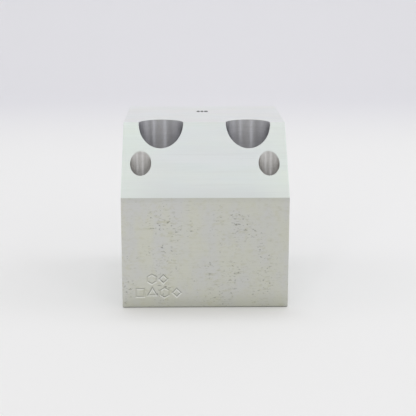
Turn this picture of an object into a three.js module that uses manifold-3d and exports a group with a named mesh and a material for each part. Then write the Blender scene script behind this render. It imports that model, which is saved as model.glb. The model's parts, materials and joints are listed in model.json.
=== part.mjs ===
// A flush-plugged hydraulic directional valve in a one-piece machined aluminium body.
// Millimetres. +X is the right side, -Y the chamfered front, +Y the port face, +Z up.
// The origin is the middle of the flat mounting face that the valve stands on.
import * as THREE from "three";
import { mergeVertices } from "three/addons/utils/BufferGeometryUtils.js";
import Module from "manifold-3d";

const wasm = await Module();
wasm.setup();

// ---------------------------------------------------------------- driving dimensions
const block = { width: 75, depth: 87.5, height: 80.5, chamfer: 29.5 };
const sideX = block.width / 2;
const rearY = block.depth / 2;
const frontY = -rearY;
const past = 2; // how far a cutting tool starts outside the face it enters
const gap = 0.15; // clearance round a screwed or pressed piece
const joined = 0.3; // clearance between a piece and the face it is screwed or pressed against
const touch = 0.1; // clearance between two moving pieces that touch

// Fixing holes through the block, from the chamfered side down to the mounting face.
const bolt = { x: 20.2, y: frontY + block.chamfer, headRadius: 10.3, shankRadius: 6.75, seatZ: 38 };
const pin = { x: 29.1, y: frontY + 13.3, radius: 4.75 };

// Spool bore, along X. Each annular groove is given by where it starts and ends, measured from the middle.
const spool = { y: 12, z: 44, radius: 7, neckRadius: 4.5, running: 0.06, halfLength: 21 };
const bore = {
  grooveRadius: 10,
  pressure: [-2, 2],
  work: [5, 9],
  tank: [12, 15.5],
  chamberStart: 20.5,
  chamberRadius: 9,
  threadStart: 30,
  threadRadius: 11,
};

// Threaded ports in the rear face, each in its own spotface.
const spotface = { depth: 1 };
const mainPort = { radius: 5.75, depth: 14, faceRadius: 10.5 };
const pilotPort = { radius: 4.4, depth: 9, faceRadius: 7.5, drillRadius: 2, orificeRadius: 2.5 };
const pressurePort = { x: 0, z: 29 };
const tankPort = { x: 0, z: 63 };
const pilot = { x: 26, z: 44 };

// Work ports in the mounting face, sealed with O-rings.
const workPort = { x: 7, y: 5, radius: 3, top: 39, faceRadius: 6.2, faceDepth: 1.1 };

// Cross drillings, closed by expander plugs where they leave the block.
const tankDrill = { x: 13.75, z: 52.5, radius: 2.8 };
const tankGallery = { y: 31, z: 57, radius: 4, end: -17 };
const reliefRiser = { x: 19.5, y: 31, radius: 2.2, top: 57 };
const pressureRiser = { y: 17, radius: 3, top: 38 };
const pressureCross = { z: 13.5, radius: 2.6 };
const smallPlug = { radius: 3.5, length: 5 };
const largePlug = { radius: 5, length: 6 };
const pilotStep = 4; // how far the orifice's hole runs past the pilot port

// Load check valve, along Z, entered from the mounting face.
const check = {
  y: 31,
  cavityRadius: 6,
  seatZ: 18,
  throatRadius: 3.3,
  throatTop: 25,
  threadRadius: 7,
  threadTop: 5,
};

// Relief valve, along X, entered from the right side.
const relief = {
  y: 31,
  z: 29,
  throatRadius: 2.5,
  seatX: 10,
  boreRadius: 6,
  threadX: 21.5,
  threadRadius: 7,
  recessX: 31.5,
  recessRadius: 9.5,
};

// ---------------------------------------------------------------- materials
function metal(color, roughness, metalness = 1) {
  return new THREE.MeshStandardMaterial({ color, roughness, metalness });
}
const aluminium = metal(0xc9cdca, 0.42);
const platedSteel = metal(0xb4b6b2, 0.35);
const groundSteel = metal(0x9a9da0, 0.18);
const springSteel = metal(0x6f7174, 0.3);
const brass = metal(0xc2a050, 0.3);
const rubber = metal(0x1c1c1e, 0.75, 0);

// ---------------------------------------------------------------- solids
function solidOf(geometry) {
  const corners = geometry.index ? geometry.toNonIndexed() : geometry;
  const bare = new THREE.BufferGeometry().setAttribute("position", corners.getAttribute("position"));
  const merged = mergeVertices(bare, 1e-4);
  const triVerts = [];
  for (let i = 0; i < merged.index.count; i += 3) {
    const triangle = Array.from(merged.index.array.slice(i, i + 3));
    if (new Set(triangle).size === 3) triVerts.push(...triangle);
  }
  const vertProperties = merged.attributes.position.array;
  return new wasm.Manifold(
    new wasm.Mesh({ numProp: 3, vertProperties, triVerts: new Uint32Array(triVerts) }),
  );
}

function geometryOf(solid) {
  const mesh = solid.getMesh();
  return new THREE.BufferGeometry()
    .setAttribute("position", new THREE.BufferAttribute(mesh.vertProperties, 3))
    .setIndex(new THREE.BufferAttribute(mesh.triVerts, 1));
}

// How many flats stand in for a circle.
function sidesFor(radius) {
  if (radius > 10) return 36;
  return radius > 4.8 ? 24 : 16;
}

// A body turned about its own Y axis from [radius, height] pairs that run upwards round it.
function turned(profile) {
  const sides = sidesFor(Math.max(...profile.map(([radius]) => radius)));
  const points = profile.map(([radius, height]) => new THREE.Vector2(radius, height));
  return new THREE.LatheGeometry(points, sides);
}

// A cylinder between two heights on the Y axis. Six sides make a hexagon, given by its corner radius.
function rod(radius, low, high, sides = sidesFor(radius)) {
  return new THREE.CylinderGeometry(radius, radius, high - low, sides).translate(0, (low + high) / 2, 0);
}

function hexagonCorner(acrossFlats) {
  return acrossFlats / Math.sqrt(3);
}

// An O-ring round the Y axis.
function oRing(middleRadius, sectionRadius, height) {
  return new THREE.TorusGeometry(middleRadius, sectionRadius, 6, sidesFor(middleRadius))
    .rotateX(Math.PI / 2)
    .translate(0, height, 0);
}

function less(geometry, ...cutters) {
  let solid = solidOf(geometry);
  for (const cutter of cutters) solid = solid.subtract(solidOf(cutter));
  return geometryOf(solid);
}

// A compression spring's centre line on the Y axis, with one close turn at each end.
class Coil extends THREE.Curve {
  constructor(radius, wire, low, high, turns) {
    super();
    Object.assign(this, { radius, wire, low, high, turns });
  }
  getPoint(t) {
    const turn = t * this.turns;
    const angle = 2 * Math.PI * turn;
    const closeRise = 1.12 * this.wire;
    const start = this.low + this.wire / 2;
    const rise = this.high - this.low - this.wire;
    const openRise = (rise - 2 * closeRise) / (this.turns - 2);
    const open = Math.min(Math.max(turn - 1, 0), this.turns - 2);
    const height = start + closeRise * (turn - open) + openRise * open;
    return new THREE.Vector3(this.radius * Math.cos(angle), height, this.radius * Math.sin(angle));
  }
}

function spring(radius, wire, low, high, turns) {
  const section = new THREE.Shape().absarc(0, 0, wire / 2, 0, 2 * Math.PI, false);
  return new THREE.ExtrudeGeometry(section, {
    extrudePath: new Coil(radius, wire, low, high, turns),
    steps: Math.round(turns * 10),
    curveSegments: 3,
    bevelEnabled: false,
  });
}

// ---------------------------------------------------------------- the block and its drillings
// A cylindrical cut from one point to another along X, Y or Z.
function drilling(from, to, radius) {
  const start = new THREE.Vector3(...from);
  const run = new THREE.Vector3(...to).sub(start);
  const turn = new THREE.Quaternion().setFromUnitVectors(new THREE.Vector3(0, 1, 0), run.clone().normalize());
  const cutter = rod(radius, 0, run.length());
  return cutter.applyQuaternion(turn).translate(start.x, start.y, start.z);
}

function plainBlock() {
  const side = new THREE.Shape([
    new THREE.Vector2(frontY, 0),
    new THREE.Vector2(rearY, 0),
    new THREE.Vector2(rearY, block.height),
    new THREE.Vector2(frontY + block.chamfer, block.height),
    new THREE.Vector2(frontY, block.height - block.chamfer),
  ]);
  // The side view is drawn in Y and Z, and swept along X.
  const toFrame = new THREE.Matrix4().makeBasis(
    new THREE.Vector3(0, 1, 0),
    new THREE.Vector3(0, 0, 1),
    new THREE.Vector3(1, 0, 0),
  );
  return new THREE.ExtrudeGeometry(side, { depth: block.width, bevelEnabled: false })
    .translate(0, 0, -sideX)
    .applyMatrix4(toFrame);
}

function fixingHoles(side) {
  const boltX = side * bolt.x;
  const pinX = side * pin.x;
  const top = block.height + past;
  return [
    drilling([boltX, bolt.y, bolt.seatZ], [boltX, bolt.y, top], bolt.headRadius),
    drilling([boltX, bolt.y, -past], [boltX, bolt.y, bolt.seatZ + past], bolt.shankRadius),
    drilling([pinX, pin.y, -past], [pinX, pin.y, top], pin.radius),
  ];
}

function alongSpool(low, high, radius) {
  return drilling([low, spool.y, spool.z], [high, spool.y, spool.z], radius);
}

function spoolBore() {
  const reach = bore.chamberStart + past;
  const cuts = [
    alongSpool(-reach, reach, spool.radius + spool.running),
    alongSpool(...bore.pressure, bore.grooveRadius),
  ];
  for (const side of [-1, 1]) {
    for (const [near, far] of [bore.work, bore.tank]) {
      cuts.push(alongSpool(side * near, side * far, bore.grooveRadius));
    }
    cuts.push(alongSpool(side * bore.chamberStart, side * (bore.threadStart + past), bore.chamberRadius));
    cuts.push(alongSpool(side * bore.threadStart, side * (sideX + past), bore.threadRadius));
  }
  return cuts;
}

function rearDrilling(x, z, depth, radius) {
  return drilling([x, rearY + past, z], [x, rearY - depth, z], radius);
}

function mainPortCuts({ x, z }) {
  return [
    rearDrilling(x, z, spotface.depth, mainPort.faceRadius),
    rearDrilling(x, z, mainPort.depth, mainPort.radius),
  ];
}

function pilotPortCuts(side) {
  const x = side * pilot.x;
  const chamberY = spool.y + bore.chamberRadius - 1;
  return [
    rearDrilling(x, pilot.z, spotface.depth, pilotPort.faceRadius),
    rearDrilling(x, pilot.z, pilotPort.depth, pilotPort.radius),
    rearDrilling(x, pilot.z, pilotPort.depth + pilotStep, pilotPort.orificeRadius),
    rearDrilling(x, pilot.z, rearY - chamberY, pilotPort.drillRadius),
  ];
}

function riser(x, y, radius, top) {
  return drilling([x, y, -past], [x, y, top], radius);
}

function workPortCuts(side) {
  const x = side * workPort.x;
  return [
    riser(x, workPort.y, workPort.radius, workPort.top),
    riser(x, workPort.y, workPort.faceRadius, workPort.faceDepth),
  ];
}

function crossDrillings() {
  const plugHole = smallPlug.radius + gap;
  const cuts = [
    riser(0, pressureRiser.y, pressureRiser.radius, pressureRiser.top),
    riser(0, pressureRiser.y, plugHole, smallPlug.length),
    riser(reliefRiser.x, reliefRiser.y, reliefRiser.radius, reliefRiser.top),
    riser(reliefRiser.x, reliefRiser.y, plugHole, smallPlug.length),
    rearDrilling(0, pressureCross.z, rearY - pressureRiser.y, pressureCross.radius),
    rearDrilling(0, pressureCross.z, smallPlug.length, plugHole),
    drilling(
      [sideX + past, tankGallery.y, tankGallery.z],
      [tankGallery.end, tankGallery.y, tankGallery.z],
      tankGallery.radius,
    ),
    drilling(
      [sideX + past, tankGallery.y, tankGallery.z],
      [sideX - largePlug.length, tankGallery.y, tankGallery.z],
      largePlug.radius + gap,
    ),
  ];
  for (const side of [-1, 1]) {
    cuts.push(rearDrilling(side * tankDrill.x, tankDrill.z, rearY - spool.y, tankDrill.radius));
    cuts.push(rearDrilling(side * tankDrill.x, tankDrill.z, smallPlug.length, plugHole));
  }
  return cuts;
}

function checkCavity() {
  return [
    riser(0, check.y, check.threadRadius, check.threadTop),
    riser(0, check.y, check.cavityRadius, check.seatZ),
    riser(0, check.y, check.throatRadius, check.throatTop),
  ];
}

function alongRelief(low, high, radius) {
  return drilling([low, relief.y, relief.z], [high, relief.y, relief.z], radius);
}

function reliefCavity() {
  const outside = sideX + past;
  return [
    alongRelief(pressurePort.x + 3, outside, relief.throatRadius),
    alongRelief(relief.seatX, outside, relief.boreRadius),
    alongRelief(relief.threadX, outside, relief.threadRadius),
    alongRelief(relief.recessX, outside, relief.recessRadius),
  ];
}

function valveBody() {
  return less(
    plainBlock(),
    ...fixingHoles(-1),
    ...fixingHoles(1),
    ...spoolBore(),
    ...mainPortCuts(pressurePort),
    ...mainPortCuts(tankPort),
    ...pilotPortCuts(-1),
    ...pilotPortCuts(1),
    ...workPortCuts(-1),
    ...workPortCuts(1),
    ...crossDrillings(),
    ...checkCavity(),
    ...reliefCavity(),
  );
}

// ---------------------------------------------------------------- the spool and its centring springs
function mainSpool() {
  const { radius, neckRadius, halfLength } = spool;
  const workLand = [4.3, 9.7];
  const endLandStart = 16.5;
  const edge = 0.4;
  const half = [
    [neckRadius, workLand[0]],
    [radius, workLand[0]],
    [radius, workLand[1]],
    [neckRadius, workLand[1]],
    [neckRadius, endLandStart],
    [radius, endLandStart],
    [radius, halfLength - edge],
    [radius - edge, halfLength],
  ];
  const mirrored = half.map(([r, along]) => [r, -along]).reverse();
  const screw = { radius: 1.7, depth: 5 };
  const screwHole = rod(screw.radius, halfLength - screw.depth, halfLength + past, 12);
  const otherScrewHole = rod(screw.radius, -halfLength - past, screw.depth - halfLength, 12);
  return less(turned([[0, -halfLength], ...mirrored, ...half, [0, halfLength]]), screwHole, otherScrewHole);
}

// Everything at one end of the spool is measured outwards from the middle of the valve.
const guide = { low: spool.halfLength + touch, flange: 1.2, radius: 6.5, stubRadius: 4.2, stub: 2 };
const endPlug = { low: bore.threadStart + joined, high: sideX - 0.3, socketFlats: 10, socketDepth: 5 };
const endSeal = { low: endPlug.low + 1.2, width: 2, radius: 0.8 };
const centringCoil = { radius: 5.2, wire: 0.9, turns: 4 };

function springGuide() {
  const flangeTop = guide.low + guide.flange;
  return turned([
    [0, guide.low],
    [guide.radius, guide.low],
    [guide.radius, flangeTop],
    [guide.stubRadius, flangeTop],
    [guide.stubRadius, flangeTop + guide.stub - 0.5],
    [guide.stubRadius - 0.5, flangeTop + guide.stub],
    [0, flangeTop + guide.stub],
  ]);
}

function centringSpring() {
  const { radius, wire, turns } = centringCoil;
  return spring(radius, wire, guide.low + guide.flange + touch, endPlug.low - touch, turns);
}

function endPlugBody() {
  const radius = bore.threadRadius - gap;
  const grooveRadius = radius - 2 * endSeal.radius - 0.1;
  const edge = 0.6;
  const outline = turned([
    [0, endPlug.low],
    [radius - edge, endPlug.low],
    [radius, endPlug.low + edge],
    [radius, endSeal.low],
    [grooveRadius, endSeal.low],
    [grooveRadius, endSeal.low + endSeal.width],
    [radius, endSeal.low + endSeal.width],
    [radius, endPlug.high - edge],
    [radius - edge, endPlug.high],
    [0, endPlug.high],
  ]);
  const corner = hexagonCorner(endPlug.socketFlats);
  return less(outline, rod(corner, endPlug.high - endPlug.socketDepth, endPlug.high + past, 6));
}

function endPlugSeal() {
  const middle = bore.threadRadius - gap - endSeal.radius;
  return oRing(middle, endSeal.radius, endSeal.low + endSeal.width / 2);
}

// ---------------------------------------------------------------- the relief valve, measured along X
const seat = {
  low: relief.seatX + 0.2,
  coneLow: relief.seatX + 2.5,
  high: relief.seatX + 3.8,
  boreRadius: relief.throatRadius - 0.4,
  mouthRadius: relief.throatRadius + 0.9,
};
const poppet = {
  noseX: 11.6,
  noseRadius: 0.9,
  coneEnd: 14.4,
  radius: 3.4,
  flangeX: 15.5,
  flange: 1.8,
  flangeRadius: 4.6,
  stubRadius: 1.9,
  stubEnd: 20,
  edge: 0.4,
};
const poppetFlangeEnd = poppet.flangeX + poppet.flange;
const reliefCoil = { low: poppetFlangeEnd + touch, high: 24.9, radius: 3.2, wire: 1.2, turns: 4.5 };
const disc = { low: reliefCoil.high + touch, thickness: 2, radius: 4.5, stub: 2, stubRadius: 1.9 };
const discEnd = disc.low + disc.thickness;
const adjuster = { low: discEnd + touch, high: 37, radius: 2.9, sealLow: 30.4, sealWidth: 1.3 };
const adjusterSocket = { flats: 3, depth: 3 };
const bushing = {
  low: 22.3,
  chamberEnd: 28.9,
  threadEnd: relief.recessX - 1.9,
  neck: 0.9,
  headLow: relief.recessX + touch,
  headHigh: 34,
  headFlats: 14,
  holeRadius: adjuster.radius + 0.25,
  edge: 0.6,
};
const locknut = { low: 34.2, high: 36.4, flats: 10 };

function reliefSeat() {
  const outer = relief.boreRadius - gap;
  const { low, coneLow, high, boreRadius, mouthRadius } = seat;
  return turned([
    [boreRadius, low],
    [outer, low],
    [outer, high],
    [mouthRadius, high],
    [boreRadius, coneLow],
    [boreRadius, low],
  ]);
}

function reliefPoppet() {
  const { noseX, noseRadius, coneEnd, radius, flangeX, flangeRadius, stubRadius, stubEnd, edge } = poppet;
  return turned([
    [0, noseX],
    [noseRadius, noseX],
    [radius, coneEnd],
    [radius, flangeX],
    [flangeRadius, flangeX],
    [flangeRadius, poppetFlangeEnd],
    [stubRadius, poppetFlangeEnd],
    [stubRadius, stubEnd - edge],
    [stubRadius - edge, stubEnd],
    [0, stubEnd],
  ]);
}

function reliefSpring() {
  const { radius, wire, low, high, turns } = reliefCoil;
  return spring(radius, wire, low, high, turns);
}

function springDisc() {
  const stubLow = disc.low - disc.stub;
  const edge = 0.4;
  return turned([
    [0, stubLow],
    [disc.stubRadius - edge, stubLow],
    [disc.stubRadius, stubLow + edge],
    [disc.stubRadius, disc.low],
    [disc.radius, disc.low],
    [disc.radius, discEnd],
    [0, discEnd],
  ]);
}

function adjustingScrew() {
  const grooveRadius = adjuster.radius - 0.85;
  const sealHigh = adjuster.sealLow + adjuster.sealWidth;
  const tipEdge = 0.7;
  const outline = turned([
    [0, adjuster.low],
    [adjuster.radius - tipEdge, adjuster.low],
    [adjuster.radius, adjuster.low + tipEdge],
    [adjuster.radius, adjuster.sealLow],
    [grooveRadius, adjuster.sealLow],
    [grooveRadius, sealHigh],
    [adjuster.radius, sealHigh],
    [adjuster.radius, adjuster.high - 0.5],
    [adjuster.radius - 0.5, adjuster.high],
    [0, adjuster.high],
  ]);
  const socketLow = adjuster.high - adjusterSocket.depth;
  return less(outline, rod(hexagonCorner(adjusterSocket.flats), socketLow, adjuster.high + past, 6));
}

function adjusterSeal() {
  const section = 0.42;
  return oRing(bushing.holeRadius - 0.21 - section, section, adjuster.sealLow + adjuster.sealWidth / 2);
}

function reliefBushing() {
  const outer = relief.threadRadius - gap;
  const head = rod(hexagonCorner(bushing.headFlats), bushing.headLow, bushing.headHigh, 6);
  const shank = turned([
    [0, bushing.low],
    [outer - bushing.edge, bushing.low],
    [outer, bushing.low + bushing.edge],
    [outer, bushing.threadEnd],
    [outer - bushing.neck, bushing.threadEnd],
    [outer - bushing.neck, bushing.headLow + 1],
    [0, bushing.headLow + 1],
  ]);
  const whole = solidOf(shank).add(solidOf(head));
  const chamber = rod(disc.radius + 0.4, bushing.low - past, bushing.chamberEnd);
  const hole = rod(bushing.holeRadius, bushing.low, bushing.headHigh + past);
  return less(geometryOf(whole), chamber, hole);
}

function bushingSeal() {
  const section = 0.4;
  return oRing(relief.threadRadius - gap - section, section, bushing.headLow - 1.2);
}

function adjusterLocknut() {
  const hole = rod(bushing.holeRadius, locknut.low - past, locknut.high + past);
  return less(rod(hexagonCorner(locknut.flats), locknut.low, locknut.high, 6), hole);
}

// ---------------------------------------------------------------- the load check valve, measured along Z
const checkPlug = { low: joined, high: check.threadTop - joined, sealLow: 2.9, sealWidth: 1.2 };
const checkSocket = { flats: 6, depth: 2.6 };
const checkPoppet = { low: 7.8, skirtTop: 13, noseLow: 16.8, noseHigh: 19.8, hollowRadius: 3.4, hollowTop: 12 };
const checkCoil = { radius: 2.6, wire: 0.8, turns: 4.5 };

function loadCheckPoppet() {
  const skirtRadius = check.cavityRadius - 0.3;
  const noseRadius = 4.2;
  return turned([
    [0, checkPoppet.hollowTop],
    [checkPoppet.hollowRadius, checkPoppet.hollowTop],
    [checkPoppet.hollowRadius, checkPoppet.low],
    [skirtRadius, checkPoppet.low],
    [skirtRadius, checkPoppet.skirtTop],
    [noseRadius, checkPoppet.skirtTop + 0.6],
    [noseRadius, checkPoppet.noseLow],
    [noseRadius - (checkPoppet.noseHigh - checkPoppet.noseLow), checkPoppet.noseHigh],
    [0, checkPoppet.noseHigh],
  ]);
}

function loadCheckSpring() {
  const { radius, wire, turns } = checkCoil;
  return spring(radius, wire, checkPlug.high + touch, checkPoppet.hollowTop - touch, turns);
}

function loadCheckPlug() {
  const radius = check.threadRadius - gap;
  const grooveRadius = radius - 1;
  const sealHigh = checkPlug.sealLow + checkPlug.sealWidth;
  const edge = 0.5;
  const outline = turned([
    [0, checkPlug.low],
    [radius - edge, checkPlug.low],
    [radius, checkPlug.low + edge],
    [radius, checkPlug.sealLow],
    [grooveRadius, checkPlug.sealLow],
    [grooveRadius, sealHigh],
    [radius, sealHigh],
    [radius, checkPlug.high],
    [0, checkPlug.high],
  ]);
  const socketTop = checkPlug.low + checkSocket.depth;
  return less(outline, rod(hexagonCorner(checkSocket.flats), checkPlug.low - past, socketTop, 6));
}

function loadCheckPlugSeal() {
  const section = 0.45;
  return oRing(check.threadRadius - gap - section, section, checkPlug.sealLow + checkPlug.sealWidth / 2);
}

// ---------------------------------------------------------------- small pieces
// An expander plug: a sleeve driven into its hole with a ball left dished in its mouth. Its mouth is at 0.
function expanderPlug({ radius, length }) {
  const ballRadius = 0.72 * radius;
  const dish = 0.45;
  const ballHeight = -dish - ballRadius;
  const rimHeight = -0.1;
  const edge = 0.5;
  const sleeveRadius = ballRadius + 0.15;
  const outline = [
    [0, joined - length],
    [radius - edge, joined - length],
    [radius, joined + edge - length],
    [radius, rimHeight - 0.3],
    [radius - 0.3, rimHeight],
    [sleeveRadius, rimHeight],
    [sleeveRadius, ballHeight + 0.3],
  ];
  const arcSteps = 3;
  for (let step = 1; step <= arcSteps; step += 1) {
    const angle = ((Math.PI / 2) * step) / arcSteps;
    outline.push([ballRadius * Math.cos(angle), ballHeight + ballRadius * Math.sin(angle)]);
  }
  outline[outline.length - 1][0] = 0;
  return turned(outline);
}

// A screwed-in orifice with its hexagon socket facing out of the pilot port, and its inner end at 0.
const orificePiece = { length: 3.6, set: 3.8, edge: 0.4, boreRadius: 0.45, socketFlats: 2.5, socketLow: 2 };

function pilotOrifice() {
  const radius = pilotPort.orificeRadius - gap;
  const { length, edge, socketLow } = orificePiece;
  const outline = turned([
    [0, 0],
    [radius - edge, 0],
    [radius, edge],
    [radius, length - edge],
    [radius - edge, length],
    [0, length],
  ]);
  const socket = rod(hexagonCorner(orificePiece.socketFlats), socketLow, length + past, 6);
  return less(outline, socket, rod(orificePiece.boreRadius, -past, socketLow + 1, 12));
}

function workPortSeal() {
  const section = 0.5;
  return oRing(workPort.faceRadius - 2 * section, section, workPort.faceDepth / 2);
}

// ---------------------------------------------------------------- assembly
function place(parent, name, geometry, material) {
  const mesh = new THREE.Mesh(geometry, material);
  mesh.name = name;
  parent.add(mesh);
  return mesh;
}

// A group whose own Y axis points along X (side 1) or -X (side -1), about the given line.
function acrossGroup(side, y, z) {
  const group = new THREE.Group();
  group.rotation.z = (-side * Math.PI) / 2;
  group.position.set(0, y, z);
  return group;
}

// A group whose own Y axis points up.
function uprightGroup(x, y, z) {
  const group = new THREE.Group();
  group.rotation.x = Math.PI / 2;
  group.position.set(x, y, z);
  return group;
}

function downwardGroup(x, y, z) {
  const group = uprightGroup(x, y, z);
  group.rotation.x = -Math.PI / 2;
  return group;
}

const valve = new THREE.Group();
place(valve, "valve_body", valveBody(), aluminium);

const spoolLine = acrossGroup(1, spool.y, spool.z);
place(spoolLine, "main_spool", mainSpool(), groundSteel);
valve.add(spoolLine);

const sides = { left: -1, right: 1 };
for (const [sideName, side] of Object.entries(sides)) {
  const end = acrossGroup(side, spool.y, spool.z);
  place(end, `${sideName}_spring_guide`, springGuide(), groundSteel);
  place(end, `${sideName}_centring_spring`, centringSpring(), springSteel);
  place(end, `${sideName}_end_plug`, endPlugBody(), platedSteel);
  place(end, `${sideName}_end_plug_seal`, endPlugSeal(), rubber);

  const orifice = place(valve, `${sideName}_pilot_orifice`, pilotOrifice(), brass);
  orifice.position.set(side * pilot.x, rearY - pilotPort.depth - orificePiece.set, pilot.z);

  const tankPlug = place(valve, `${sideName}_tank_drilling_plug`, expanderPlug(smallPlug), platedSteel);
  tankPlug.position.set(side * tankDrill.x, rearY, tankDrill.z);

  const seal = uprightGroup(side * workPort.x, workPort.y, 0);
  place(seal, `${sideName}_work_port_seal`, workPortSeal(), rubber);
  valve.add(end, seal);
}

const reliefLine = acrossGroup(1, relief.y, relief.z);
place(reliefLine, "relief_seat", reliefSeat(), groundSteel);
place(reliefLine, "relief_poppet", reliefPoppet(), groundSteel);
place(reliefLine, "relief_spring", reliefSpring(), springSteel);
place(reliefLine, "relief_spring_disc", springDisc(), groundSteel);
place(reliefLine, "relief_bushing", reliefBushing(), platedSteel);
place(reliefLine, "relief_bushing_seal", bushingSeal(), rubber);
place(reliefLine, "relief_adjusting_screw", adjustingScrew(), platedSteel);
place(reliefLine, "relief_adjusting_screw_seal", adjusterSeal(), rubber);
place(reliefLine, "relief_locknut", adjusterLocknut(), platedSteel);
valve.add(reliefLine);

const checkLine = uprightGroup(0, check.y, 0);
place(checkLine, "load_check_poppet", loadCheckPoppet(), groundSteel);
place(checkLine, "load_check_spring", loadCheckSpring(), springSteel);
place(checkLine, "load_check_plug", loadCheckPlug(), platedSteel);
place(checkLine, "load_check_plug_seal", loadCheckPlugSeal(), rubber);
valve.add(checkLine);

const pressureCrossPlug = place(valve, "pressure_cross_plug", expanderPlug(smallPlug), platedSteel);
pressureCrossPlug.position.set(0, rearY, pressureCross.z);

const tankGalleryMouth = acrossGroup(1, tankGallery.y, tankGallery.z);
tankGalleryMouth.position.x = sideX;
place(tankGalleryMouth, "tank_gallery_plug", expanderPlug(largePlug), platedSteel);

const pressureRiserMouth = downwardGroup(0, pressureRiser.y, 0);
place(pressureRiserMouth, "pressure_riser_plug", expanderPlug(smallPlug), platedSteel);

const reliefRiserMouth = downwardGroup(reliefRiser.x, reliefRiser.y, 0);
place(reliefRiserMouth, "relief_riser_plug", expanderPlug(smallPlug), platedSteel);
valve.add(tankGalleryMouth, pressureRiserMouth, reliefRiserMouth);

export default valve;
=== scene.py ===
import bpy, bmesh, json
from math import pi, sin, cos, tan, radians, sqrt
from mathutils import Matrix, Vector


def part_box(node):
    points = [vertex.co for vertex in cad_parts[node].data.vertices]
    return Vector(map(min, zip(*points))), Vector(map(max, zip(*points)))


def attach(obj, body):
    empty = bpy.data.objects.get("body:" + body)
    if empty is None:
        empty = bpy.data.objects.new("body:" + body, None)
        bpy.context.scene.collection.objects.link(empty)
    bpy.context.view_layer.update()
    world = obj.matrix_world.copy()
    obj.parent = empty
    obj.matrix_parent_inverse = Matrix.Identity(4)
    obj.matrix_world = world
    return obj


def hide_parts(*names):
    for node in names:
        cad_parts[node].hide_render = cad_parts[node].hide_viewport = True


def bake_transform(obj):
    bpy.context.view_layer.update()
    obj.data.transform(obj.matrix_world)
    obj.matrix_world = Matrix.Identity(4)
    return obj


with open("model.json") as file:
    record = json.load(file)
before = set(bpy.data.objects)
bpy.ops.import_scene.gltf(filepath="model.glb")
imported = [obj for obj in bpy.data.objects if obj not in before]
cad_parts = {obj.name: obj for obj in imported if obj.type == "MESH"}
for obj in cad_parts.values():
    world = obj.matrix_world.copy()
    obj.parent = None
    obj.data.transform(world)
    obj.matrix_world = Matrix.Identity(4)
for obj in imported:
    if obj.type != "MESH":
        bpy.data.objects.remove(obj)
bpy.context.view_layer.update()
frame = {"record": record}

mm = 0.001
scene = bpy.context.scene
blockLow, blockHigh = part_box("valve_body")
width = blockHigh.x - blockLow.x


class Sizes(dict):  # a dictionary whose values are also read as names
    __getattr__ = dict.__getitem__


# Node trees written as expressions.

class Wire:  # a value on its way through a node tree
    def __init__(self, maker, socket):
        self.maker = maker
        self.socket = socket

    def maths(self, operation, *others):
        return self.maker.node("ShaderNodeMath", dict(enumerate([self, *others])), operation=operation)

    def __add__(self, other):
        return self.maths("ADD", other)

    def __sub__(self, other):
        return self.maths("SUBTRACT", other)

    def __rsub__(self, other):
        return self.maker.node("ShaderNodeMath", {0: other, 1: self}, operation="SUBTRACT")

    def __mul__(self, other):
        return self.maths("MULTIPLY", other)

    def __truediv__(self, other):
        return self.maths("DIVIDE", other)

    __radd__ = __add__
    __rmul__ = __mul__


class Maker:  # adds nodes to one tree
    def __init__(self, tree):
        self.tree = tree

    def raw(self, kind, values=None, **settings):
        made = self.tree.nodes.new(kind)
        for name, value in settings.items():
            setattr(made, name, value)
        for key, value in (values or {}).items():
            socket = made.inputs[key]
            if isinstance(value, Wire):
                self.tree.links.new(value.socket, socket)
            else:
                socket.default_value = value
        return made

    def node(self, kind, values=None, out=0, **settings):
        return Wire(self, self.raw(kind, values, **settings).outputs[out])

    def rise(self, value, start, end):  # 0 before start, 1 after end, smooth between
        return self.node("ShaderNodeMapRange", {"Value": value, "From Min": start, "From Max": end},
                         interpolation_type="SMOOTHSTEP")

    def blend(self, factor, first, second, mode="MIX"):
        return self.node("ShaderNodeMix", {0: factor, 6: first, 7: second}, 2, data_type="RGBA",
                         blend_type=mode)

    def layered(self, base, *layers):  # lays each (amount, colour) over what is below it
        for amount, colour in layers:
            base = self.blend(amount, base, tone(*colour))
        return base

    def stretched(self, point, scale):
        return self.node("ShaderNodeVectorMath", {0: point, 1: scale}, operation="MULTIPLY")

    def noise(self, point, scale, detail=2.0, rough=0.5, stretch=None):
        if stretch:
            point = self.stretched(point, stretch)
        return self.node("ShaderNodeTexNoise",
                         {"Vector": point, "Scale": scale, "Detail": detail, "Roughness": rough})

    def split(self, point):  # the three coordinates of a vector
        axes = self.raw("ShaderNodeSeparateXYZ", {0: point})
        return [Wire(self, socket) for socket in axes.outputs]


def shaded(name, finish, **fixed):  # a material whose finish gives the sockets that vary
    material = bpy.data.materials.new(name)
    material.use_nodes = True
    tree = material.node_tree
    shader = tree.nodes["Principled BSDF"]
    maker = Maker(tree)
    place = maker.node("ShaderNodeTexCoord", out="Object")
    point = maker.stretched(place, (1000, 1000, 1000))  # millimetres
    for socketName, value in fixed.items():
        shader.inputs[socketName].default_value = value
    for socketName, wire in finish(maker, point).items():
        tree.links.new(wire.socket, shader.inputs[socketName])
    return material


def bumped(maker, height, distance, strength=1.0):
    return maker.node("ShaderNodeBump", {"Height": height, "Distance": distance, "Strength": strength})


def tone(r, g, b):
    return (r, g, b, 1.0)


# Finishes.

block = Sizes(chamfer=29.5, edgeBreak=0.25, footBreak=0.55, rimBreak=0.22)
toolMarks = Sizes(ridge=51.0, lineSpacing=0.42, lineDepth=0.004, grey=tone(0.80, 0.835, 0.815))


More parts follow.
